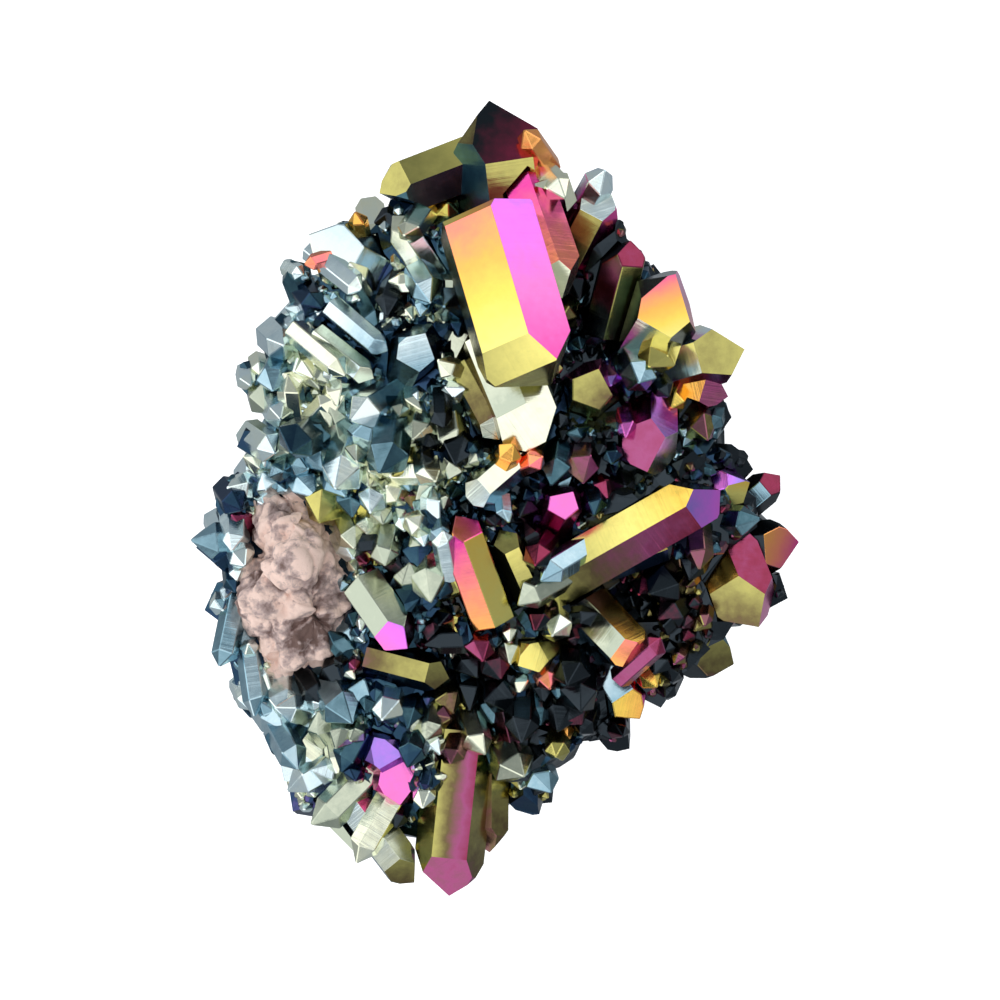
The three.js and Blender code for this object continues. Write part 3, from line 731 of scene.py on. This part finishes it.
class Growth:
    """Collects six-sided crystals into one mesh."""

    SIDES = 6
    # Width of the softened edges.
    EDGE = 0.05 * MM
    # How much a crystal turns about its own length, in radians.
    TURN_SPREAD = 0.2
    # Height of the sloping faces, and how far the tip and the shoulders wander, in radii.
    TIP_HEIGHT = 1.1
    TIP_WANDER = 0.3
    SHOULDER_WANDER = 0.22
    # Least height of the shoulders, as a share of the crystal's.
    LEAST_SHOULDER = 0.1
    # How flat a crystal may be, and how much it narrows toward its shoulders.
    FLATNESS = (0.7, 1.0)
    TAPER = 0.96
    # How much the film differs between its prism faces and between its sloping faces.
    PRISM_SPREAD = 0.015
    TIP_SPREAD = 0.025

    def __init__(self):
        self.verts = []
        self.faces = []
        self.films = []
        self.runs = []
        self.growths = []

    def add(self, seat, way, width, stand, sunk, film_and_light, chance):
        """One crystal on a seat, pointing a way: its prism faces, then its sloping faces."""
        first = len(self.verts)
        turn = way.to_track_quat("Z", "Y").to_matrix() @ Matrix.Rotation(
            chance.gauss(0, self.TURN_SPREAD), 3, "Z")
        radius = width / math.sqrt(3)
        flatness = chance.uniform(*self.FLATNESS)
        shoulder = max(stand - self.TIP_HEIGHT * radius, self.LEAST_SHOULDER * stand)
        off_axis = [chance.uniform(-self.TIP_WANDER, self.TIP_WANDER) * radius for _ in range(2)]
        ring = []
        for corner in range(self.SIDES):
            angle = corner * math.tau / self.SIDES
            ring.append(Vector((radius * math.cos(angle), radius * math.sin(angle) * flatness, 0)))
        wander = self.SHOULDER_WANDER
        lifts = [chance.uniform(-wander, wander) * radius for _ in ring]
        places = [point - UP * sunk for point in ring]
        for point, lift in zip(ring, lifts):
            places.append(point * self.TAPER + UP * (shoulder + lift))
        places.append(Vector((*off_axis, stand)))
        for place in places:
            vert = seat + turn @ place
            vert.z = max(vert.z, 0.0)
            self.verts.append(vert)
        shoulders = first + self.SIDES
        tip = shoulders + self.SIDES
        for corner in range(self.SIDES):
            following = (corner + 1) % self.SIDES
            self._face(
                [first + corner, first + following, shoulders + following, shoulders + corner],
                way, film_and_light + chance.uniform(-self.PRISM_SPREAD, self.PRISM_SPREAD))
            self._face(
                [shoulders + corner, shoulders + following, tip],
                way, film_and_light + chance.uniform(-self.TIP_SPREAD, self.TIP_SPREAD))
        self._face([first + corner for corner in reversed(range(self.SIDES))], way, film_and_light)

    def _face(self, corners, way, film_and_light):
        self.faces.append(corners)
        self.films.append(min(max(film_and_light, 0.0), 1.0))
        self.runs += [0.0, 0.0, 0.0]
        self.growths += list(way)

    def mesh(self, name):
        """The mesh of all the crystals added so far, with softened edges."""
        mesh = bpy.data.meshes.new(name)
        mesh.from_pydata(self.verts, [], self.faces)
        film_layer = mesh.attributes.new("film", "FLOAT", "FACE")
        film_layer.data.foreach_set("value", self.films)
        run_layer = mesh.attributes.new("run", "FLOAT_VECTOR", "FACE")
        run_layer.data.foreach_set("vector", self.runs)
        growth_layer = mesh.attributes.new("growth", "FLOAT_VECTOR", "FACE")
        growth_layer.data.foreach_set("vector", self.growths)
        mesh.update()
        soft = bmesh.new()
        soft.from_mesh(mesh)
        bmesh.ops.bevel(soft, geom=soft.edges[:], offset=self.EDGE, segments=1, profile=0.5,
                        affect="EDGES", clamp_overlap=True, material=-1)
        soft.to_mesh(mesh)
        soft.free()
        return mesh


class Seats:
    """Random places on the bed, evenly by area, that keep clear of each other and the points."""

    # Size of the cells that the taken places are sorted into.
    CELL = 2 * MM
    # No crystal is seated lower than this, or on faces that look down more than this.
    LOWEST = 0.8 * MM
    MOST_OVERHANG = -0.9
    # How many spots along a crystal are tested, and the room that it needs there, in widths.
    SPOTS = 5
    SIDE_ROOM = 0.5
    TIP_ROOM = 0.15
    # How far a crystal reaches out from its middle, in widths, and how far it may overhang.
    REACH = 0.4
    MAY_OVERHANG = 0.3 * MM
    # A taken place keeps this share of its room from later crystals.
    SHARED_ROOM = 0.8

    def __init__(self, chance):
        self.chance = chance
        mesh = frame_object(BED).data
        mesh.calc_loop_triangles()
        self.triangles = []
        reach = 0.0
        for triangle in mesh.loop_triangles:
            corners = [mesh.vertices[index].co for index in triangle.vertices]
            top = max(corner.z for corner in corners)
            if triangle.normal.z < self.MOST_OVERHANG or top < self.LOWEST:
                continue
            reach += triangle.area
            self.triangles.append((reach, corners, triangle.normal.copy()))
        self.reach = reach
        self.marks = [entry[0] for entry in self.triangles]
        self.points_tree = tree_of([*POINTS, ROCK])
        self.bed_tree = tree_of([BED, ROCK])
        self.top_tree = tree_of([BED, ROCK, *POINTS])
        self.taken = {}

    def pick(self):
        """A random place and the bed's normal there."""
        entry = self.triangles[bisect_left(self.marks, self.chance.uniform(0, self.reach))]
        _, (a, b, c), normal = entry
        first, second = self.chance.random(), self.chance.random()
        if first + second > 1:
            first, second = 1 - first, 1 - second
        return a + (b - a) * first + (c - a) * second, normal

    def clear(self, place, tip, spacing, girth):
        """Whether a crystal has room, all the way up, beside the points and its neighbours."""
        last = self.SPOTS - 1
        for step in range(self.SPOTS):
            spot = place.lerp(tip, step / last)
            touched, outward, _, _ = self.points_tree.find_nearest(spot)
            needed = girth * (self.SIDE_ROOM if step < last else self.TIP_ROOM)
            if (spot - touched).dot(outward) < 0 or (spot - touched).length < needed:
                return False
        if tip.z < girth * self.REACH:
            return False
        if not (self.inside(place, girth) and self.inside(tip, girth)):
            return False
        x, y, z = self.cell_of(place)
        for dx, dy, dz in product((-1, 0, 1), repeat=3):
            near = self.taken.get((x + dx, y + dy, z + dz), ())
            if any((place - other).length < max(spacing, room) for other, room in near):
                return False
        self.take(place, spacing)
        return True

    def inside(self, spot, girth):
        """Whether a crystal of that width stays inside the cluster's outline at a spot."""
        outward = Vector((spot.x - MIDDLE.x, spot.y - MIDDLE.y, 0)).normalized()
        rim = spot + outward * (girth * self.REACH - self.MAY_OVERHANG)
        return any(self.bed_tree.ray_cast(rim, way)[0] is not None for way in (-UP, UP))

    def take(self, place, room):
        """Keeps room round a place from later crystals."""
        self.taken.setdefault(self.cell_of(place), []).append((place, room * self.SHARED_ROOM))

    def cell_of(self, place):
        return tuple(int(value / self.CELL) for value in place)


def tree_of(nodes):
    """The surfaces of some nodes together, to be asked for what is near or in the way."""
    verts, faces = [], []
    for node in nodes:
        mesh = frame_object(node).data
        first = len(verts)
        verts += [vert.co.copy() for vert in mesh.vertices]
        faces += [[first + index for index in face.vertices] for face in mesh.polygons]
    return BVHTree.FromPolygons(verts, faces)


def leaning(normal, place, jitter, chance):
    """The way a small crystal grows: half raised, and leaning as its neighbours do.

    On the bed's sides it stands out from them instead.
    """
    across = share_in((LOW, HIGH), place)[0]
    patch = noise.noise(place * LEAN_PATCHES)
    compass = -90 + LEAN_SWEEP * (0.5 - across) + LEAN_SCATTER * patch
    level = min(max(normal.z * LEAN_LEVEL, 0.0), 1.0)
    way = bearing(compass, LEAN_RISE) * level + normal * (1.3 - level)
    way += Vector((chance.gauss(0, jitter), chance.gauss(0, jitter), chance.gauss(0, jitter)))
    return way.normalized()


class ClusterSettings(bpy.types.PropertyGroup):
    bevel: bpy.props.FloatProperty(
        name="Edge softness", description="Width of the softened crystal edges",
        default=0.09 * MM, unit="LENGTH", precision=5)
    stout_count: bpy.props.IntProperty(
        name="Stout crystals", description="How many stout crystals stand on the bed",
        default=320)
    small_count: bpy.props.IntProperty(
        name="Small crystals", description="How many small crystals stand between",
        default=420)
    fine_count: bpy.props.IntProperty(
        name="Fine druse", description="How many of the finest crystals fill the gaps",
        default=700)
    film_drift: bpy.props.FloatProperty(
        name="Film drift", description="How much the film's thickness wanders over a face",
        default=0.06)
    film_relief: bpy.props.FloatProperty(
        name="Film relief", description="Depth of the growth lines and hollows", default=0.35)
    socket_fill: bpy.props.FloatProperty(
        name="Socket fill", description="How far the bed swells to close round seated crystals",
        default=0.36 * MM, unit="LENGTH", precision=5)
    # The pits colour is partly painted shade in the rock's hollows, and the crumbs colour partly
    # painted light on its raised cobbles, grains and higher parts.
    rock_dark: bpy.props.FloatVectorProperty(
        name="Rock pits", description="Colour of the rock's pits", subtype="COLOR",
        default=(0.16, 0.095, 0.08))
    rock_colour: bpy.props.FloatVectorProperty(
        name="Rock", description="Main colour of the bare rock", subtype="COLOR",
        default=(0.42, 0.31, 0.29))
    rock_pale: bpy.props.FloatVectorProperty(
        name="Rock crumbs", description="Colour of the pale crumbs", subtype="COLOR",
        default=(0.86, 0.63, 0.54))
    floor_colour: bpy.props.FloatVectorProperty(
        name="Floor", description="Colour of the floor", subtype="COLOR",
        default=(0.9, 0.9, 0.9))
    floor_glow: bpy.props.FloatProperty(
        name="Floor glow", description="How brightly the floor is lit from below", default=0.75)


class CLUSTER_OT_points(bpy.types.Operator):
    """Dress every seated crystal with its metal film"""

    bl_idname = "cluster.dress_points"
    bl_label = "Dress crystals"

    def execute(self, context):
        chance = random.Random(21)
        for node in POINTS:
            dress_point(node, settings().bevel, chance)
        return {"FINISHED"}


class CLUSTER_OT_bed(bpy.types.Operator):
    """Swell the bed round the seated crystals and give it a near-black film, painted shade for the
    gaps
    """

    bl_idname = "cluster.dress_bed"
    bl_label = "Dress bed"

    # Corners no higher than this lie on the flat cut underside and stay there.
    CUT = 0.05 * MM
    # The rest stays at least this far over the floor.
    CLEARANCE = 0.02 * MM

    def execute(self, context):
        made = copied_mesh(BED)
        made.normal_update()
        moves = [(vert, vert.normal.copy()) for vert in made.verts if vert.co.z > self.CUT]
        for vert, normal in moves:
            vert.co += normal * settings().socket_fill
            vert.co.z = max(vert.co.z, self.CLEARANCE)
        film_and_light = made.faces.layers.float.new("film")
        made.faces.layers.float_vector.new("run")
        growth = made.faces.layers.float_vector.new("growth")
        for face in made.faces:
            # Painted shade: the bed between the crystals gets a near-black film for the dark gaps.
            face[film_and_light] = bed_film_and_painted_shade(face.calc_center_median())
            face[growth] = UP
        piece = new_piece("crystal_bed_look", write_mesh("crystal_bed_look", made), film())
        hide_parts(BED)
        return {"FINISHED"}


class CLUSTER_OT_druse(bpy.types.Operator):
    """Grow the small crystals and the fine druse over the bed"""

    bl_idname = "cluster.grow_druse"
    bl_label = "Grow druse"

    # Share of a standout crystal's height that is under its seat, and its room in widths.
    SUNK_SHARE = 0.35
    STANDOUT_ROOM = 0.7
    # Height, depth of the root and room of the others, in widths.
    HEIGHT = (0.9, 1.7)
    ROOT = 0.8
    ROOM = 0.66
    # How many places are tried for each crystal that is asked for.
    TRIES = 40

    def execute(self, context):
        chance = random.Random(4)
        seats = Seats(chance)
        self.stand_out(seats, chance)
        self.grow(seats, chance, "stout_crystals", settings().stout_count, (1.7, 2.9), 0.12)
        self.grow(seats, chance, "small_crystals", settings().small_count, (1.0, 1.7), 0.15)
        self.grow(seats, chance, "fine_druse", settings().fine_count, (0.6, 1.0), 0.2)
        return {"FINISHED"}

    def stand_out(self, seats, chance):
        """The small crystals with a place of their own, each rooted in what lies under it."""
        growth = Growth()
        for x, y, compass, rise, width, stand, name in STANDOUTS:
            above = Vector((MIDDLE.x + x * MM, MIDDLE.y + y * MM, HIGH.z + MM))
            seat = seats.top_tree.ray_cast(above, -UP)[0]
            if seat is None:
                raise RuntimeError(f"nothing under the {name} crystal at {x}, {y}")
            way = bearing(compass, rise)
            growth.add(
                seat - way * stand * self.SUNK_SHARE * MM, way, width * MM,
                stand * MM * (1 + self.SUNK_SHARE), width * MM, order(name), chance)
            seats.take(seat, width * self.STANDOUT_ROOM * MM)
        new_piece("standout_crystals", growth.mesh("standout_crystals"), film())

    def grow(self, seats, chance, name, count, widths, jitter):
        """Seats crystals of some widths, in millimetres, until there are enough or no room."""
        growth = Growth()
        grown = 0
        for _ in range(count * self.TRIES):
            if grown >= count:
                break
            place, normal = seats.pick()
            width = chance.uniform(*widths) * MM
            way = leaning(normal, place, jitter, chance)
            stand = width * chance.uniform(*self.HEIGHT)
            if not seats.clear(place, place + way * stand, width * self.ROOM, width):
                continue
            root = width * self.ROOT
            growth.add(place, way, width, stand, root, zone_film_and_light(place, chance), chance)
            grown += 1
        new_piece(name, growth.mesh(name), film())


class CLUSTER_OT_rock(bpy.types.Operator):
    """Roughen the bare host rock"""

    bl_idname = "cluster.roughen_rock"
    bl_label = "Roughen rock"

    # Without this the outlines of the cobbles would bend another way each run.
    SEED = 3
    # How often each edge is divided, and how often the result is smoothed.
    CUTS = 12
    SMOOTHINGS = 8
    # Corners no higher than this lie on the flat cut underside and stay there.
    CUT = 0.1 * MM
    # How often these repeat in a metre: the bends of the cobbles' outlines, the cobbles, the
    # grains, and the slow swells.
    BENDS = 700
    COBBLES = 600
    GRAINS = 1900
    SWELLS = 300
    # In millimetres: how far the outlines bend, and how far the whole surface, the cobbles, the
    # grains and the swells stand out.
    BEND = 0.35
    SKIN = 0.3
    COBBLE_HEIGHT = 0.6
    GRAIN_HEIGHT = 0.15
    SWELL_HEIGHT = 0.9

    def execute(self, context):
        noise.seed_set(self.SEED)
        made = copied_mesh(ROCK)
        bmesh.ops.subdivide_edges(made, edges=made.edges, cuts=self.CUTS, use_grid_fill=True)
        for _ in range(self.SMOOTHINGS):
            bmesh.ops.smooth_vert(
                made, verts=made.verts, factor=0.5, use_axis_x=True, use_axis_y=True,
                use_axis_z=True)
        made.normal_update()
        crumb = made.verts.layers.float.new("crumb")
        low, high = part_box(ROCK)
        for vert in made.verts:
            cobble, grain, sway = self.roughness(vert.co)
            rise = (vert.co.z - low[2]) / (high[2] - low[2])
            # Painted light: paler higher up and on the raised cobbles and grains, so the hollows
            # between them get painted shade.
            vert[crumb] = 0.2 * rise + 0.4 * cobble + 0.4 * grain
            if vert.co.z > self.CUT:
                out = (self.SKIN + self.COBBLE_HEIGHT * cobble + self.GRAIN_HEIGHT * grain
                       + self.SWELL_HEIGHT * sway)
                vert.co += vert.normal * out * MM
                vert.co.z = max(vert.co.z, 0.0)
        for face in made.faces:
            face.smooth = True
        mesh = write_mesh("host_rock_look", made)
        piece = new_piece("host_rock_look", mesh, rock_material(settings()))
        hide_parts(ROCK)
        return {"FINISHED"}

    def roughness(self, place):
        """The broken cobbles of the rock at a place, its grains, and its slow swells."""
        bent = place + Vector(noise.noise_vector(place * self.BENDS)) * self.BEND * MM
        near, far = noise.voronoi(bent * self.COBBLES)[0][:2]
        cobble = min((far - near) * 1.8, 1.0) ** 0.7
        near, far = noise.voronoi(bent * self.GRAINS)[0][:2]
        grain = min((far - near) * 2.0, 1.0)
        return cobble, grain, noise.fractal(place * self.SWELLS, 0.6, 2.0, 3)


class CLUSTER_OT_stage(bpy.types.Operator):
    """Set the floor, the lights and the camera"""

    bl_idname = "cluster.set_stage"
    bl_label = "Set stage"

    # Each soft light's compass bearing and rise in degrees, its width in metres, its brightness.
    SOFTBOXES = {
        "overhead": (-90, 85, 0.60, 0.90),
        "left": (168, 24, 0.50, 1.2),
        "right": (42, 21, 0.34, 1.08),
        "near": (-115, 21, 0.38, 1.0),
        "near_right": (-58, 22, 0.20, 0.7),
    }
    LIGHTS_AWAY = 0.4
    SKY = (0.85, 0.93, 1.0, 1)
    SKY_STRENGTH = 0.44
    # Half the floor's side, in heights of the cluster, and how far it lies under it.
    FLOOR_REACH = 60
    FLOOR_GAP = 0.05 * MM
    # The camera's lens and sensor in millimetres, the width of what it shows in heights of the
    # cluster, and the share of the cluster's depth where it shows that width.
    LENS = 100
    SENSOR = 36
    SHOWN = 1.245
    SHOWN_AT = 0.6

    def execute(self, context):
        self.make_floor()
        self.make_world()
        for name, (compass, rise, size, brightness) in self.SOFTBOXES.items():
            self.make_softbox(name, compass, rise, size, brightness)
        self.make_camera()
        return {"FINISHED"}

    def make_floor(self):
        half = SIZE.y * self.FLOOR_REACH
        level = LOW.z - self.FLOOR_GAP
        corners = [
            (-half, -half, level), (half, -half, level), (half, half, level), (-half, half, level)]
        mesh = bpy.data.meshes.new("floor")
        mesh.from_pydata(corners, [], [(0, 1, 2, 3)])
        floor = bpy.data.objects.new("floor", mesh)
        bpy.context.collection.objects.link(floor)
        mesh.materials.append(floor_material(settings()))
        floor.visible_glossy = False
        floor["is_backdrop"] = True

    def make_world(self):
        world = bpy.data.worlds.new("studio")
        world.use_nodes = True
        background = world.node_tree.nodes["Background"]
        background.inputs["Color"].default_value = self.SKY
        background.inputs["Strength"].default_value = self.SKY_STRENGTH
        bpy.context.scene.world = world

    def make_softbox(self, name, compass, rise, size, brightness):
        """A round soft light, a fixed way off, that looks equally bright all over."""
        light = bpy.data.lights.new(name, "AREA")
        light.shape = "DISK"
        light.size = size
        light.energy = brightness * math.pi * math.pi * (size / 2) ** 2
        way = bearing(compass, rise)
        lamp = bpy.data.objects.new(name, light)
        lamp.location = MIDDLE + way * self.LIGHTS_AWAY
        lamp.rotation_euler = (-way).to_track_quat("-Z", "Y").to_euler()
        bpy.context.collection.objects.link(lamp)

    def make_camera(self):
        """A camera straight above, looking down."""
        camera = bpy.data.cameras.new("camera")
        camera.lens = self.LENS
        camera.sensor_width = self.SENSOR
        distance = SIZE.y * self.SHOWN * camera.lens / camera.sensor_width
        eye = bpy.data.objects.new("camera", camera)
        eye.location = Vector((MIDDLE.x, MIDDLE.y, self.SHOWN_AT * SIZE.z + distance))
        camera.clip_start = 0.01
        bpy.context.collection.objects.link(eye)
        bpy.context.scene.camera = eye
        bpy.context.scene.view_settings.view_transform = "Standard"


class CLUSTER_PT_panel(bpy.types.Panel):
    """The cluster's sizes, colours and steps"""

    bl_idname = "CLUSTER_PT_panel"
    bl_label = "Quartz Cluster"
    bl_space_type = "VIEW_3D"
    bl_region_type = "UI"
    bl_category = "Cluster"

    def draw(self, context):
        for name in ClusterSettings.__annotations__:
            self.layout.prop(context.scene.quartz_cluster, name)
        for step in STEPS:
            self.layout.operator(step.bl_idname)


STEPS = [CLUSTER_OT_stage, CLUSTER_OT_points, CLUSTER_OT_bed, CLUSTER_OT_druse, CLUSTER_OT_rock]
CLASSES = [ClusterSettings, *STEPS, CLUSTER_PT_panel]


def register():
    for cls in CLASSES:
        bpy.utils.register_class(cls)
    bpy.types.Scene.quartz_cluster = bpy.props.PointerProperty(type=ClusterSettings)


def unregister():
    del bpy.types.Scene.quartz_cluster
    for cls in reversed(CLASSES):
        bpy.utils.unregister_class(cls)


def main():
    register()
    bpy.ops.cluster.set_stage()
    bpy.ops.cluster.dress_points()
    bpy.ops.cluster.dress_bed()
    bpy.ops.cluster.grow_druse()
    bpy.ops.cluster.roughen_rock()


if __name__ == "__main__":
    main()
